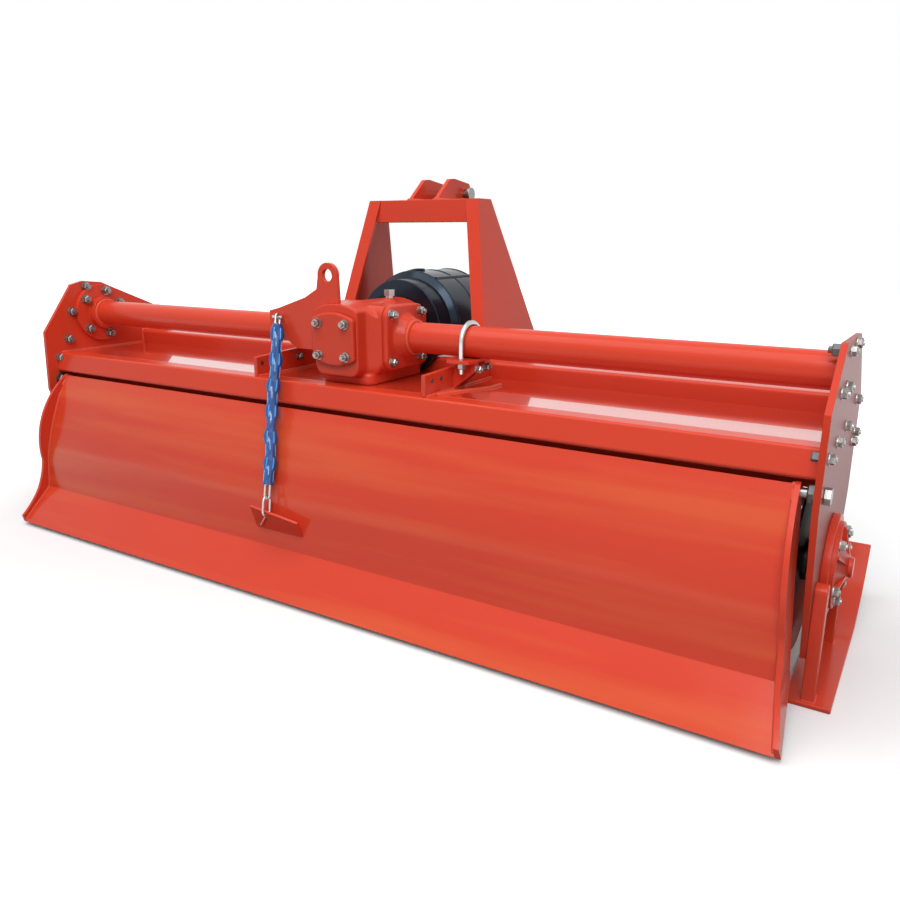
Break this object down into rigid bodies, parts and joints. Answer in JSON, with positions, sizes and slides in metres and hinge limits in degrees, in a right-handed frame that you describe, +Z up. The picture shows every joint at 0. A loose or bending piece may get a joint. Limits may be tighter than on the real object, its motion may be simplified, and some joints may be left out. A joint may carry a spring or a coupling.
{
  "type": "rotary tiller",
  "caption": "Tractor-mounted rotary tiller: side-driven rotor with bent blades under a steel deck, hinged levelling board held by a sleeved chain, three-point headstock and guarded input shaft.",
  "frame": {"origin": "on the ground under the middle of the machine, at the centre of the bounding box's bottom face", "axes": "+X across the machine to its right, +Y forward to the tractor, +Z up"},
  "size_m": [2.388, 0.827, 1.038],
  "materials": {
    "orange_paint": "gloss",
    "casting_paint": "gloss",
    "black_guard": "gloss",
    "zinc": "satin",
    "black_paint": "satin",
    "shaft_steel": "satin",
    "chain_blue": "gloss"
  },
  "bodies": {
    "frame": {"side_plate_left": "orange_paint", "side_plate_right": "orange_paint", "rear_beam": "orange_paint", "deck": "orange_paint", "front_beam": "orange_paint", "gearbox_housing": "casting_paint", "gearbox_rear_cover": "casting_paint", "gearbox_flange_left": "casting_paint", "gearbox_flange_right": "casting_paint", "breather_plug": "zinc", "cross_tube_left": "orange_paint", "cross_tube_right": "orange_paint", "hitch_leg_left": "orange_paint", "hitch_leg_right": "orange_paint", "hitch_top_bar": "orange_paint", "top_link_ears": "orange_paint", "top_link_pin": "zinc", "lower_hitch_bracket_left": "orange_paint", "lower_hitch_bracket_right": "orange_paint", "lower_hitch_pins": "zinc", "deck_ribs": "orange_paint", "tube_saddle": "orange_paint", "u_bolt": "zinc", "lifting_plate": "orange_paint", "pto_guard": "black_guard", "side_gearcase": "casting_paint", "side_gearcase_cover": "orange_paint", "rotor_bearing_flange": "casting_paint", "rotor_bearing_cap": "casting_paint", "skid_left": "orange_paint", "skid_right": "orange_paint", "board_pivots": "zinc", "chain_anchor": "zinc"},
    "rotor": {"rotor_tube": "black_paint", "rotor_flanges": "black_paint", "blades_left_hand": "black_paint", "blades_right_hand": "black_paint"},
    "pto": {"pto_shaft": "shaft_steel"},
    "board": {"rear_board": "orange_paint", "board_end_plate_left": "orange_paint", "board_end_plate_right": "orange_paint", "board_lug": "orange_paint", "chain_hook": "zinc"},
    "chain_upper": {"chain_links_upper": "zinc", "chain_sleeve_upper": "chain_blue"},
    "chain_lower": {"chain_links_lower": "zinc", "chain_sleeve_lower": "chain_blue"}
  },
  "joints": [
    {"name": "rotor_spin", "type": "hinge", "parent": "frame", "child": "rotor", "pos_m": [0, -0.0265, 0.24], "axis": [1, 0, 0], "continuous": true},
    {"name": "pto_spin", "type": "hinge", "parent": "frame", "child": "pto", "pos_m": [0, 0.1235, 0.64], "axis": [0, 1, 0], "continuous": true},
    {"name": "board_swing", "type": "hinge", "parent": "frame", "child": "board", "pos_m": [0, -0.2265, 0.44], "axis": [-1, 0, 0], "range_deg": [0, 40]},
    {"name": "chain_swing", "type": "hinge", "parent": "frame", "child": "chain_upper", "pos_m": [-0.188, -0.2025, 0.684], "axis": [-1, 0, 0], "range_deg": [0, 44.7]},
    {"name": "chain_fold", "type": "hinge", "parent": "chain_upper", "child": "chain_lower", "pos_m": [-0.15311, -0.28097, 0.43467], "axis": [1, 0, 0], "range_deg": [0, 59.2]}
  ],
  "couplings": [
    {"joint": "pto_spin", "follows": "rotor_spin", "ratio": 2.57},
    {"joint": "chain_swing", "follows": "board_swing", "ratio": 1.1175},
    {"joint": "chain_fold", "follows": "board_swing", "ratio": 1.48}
  ]
}
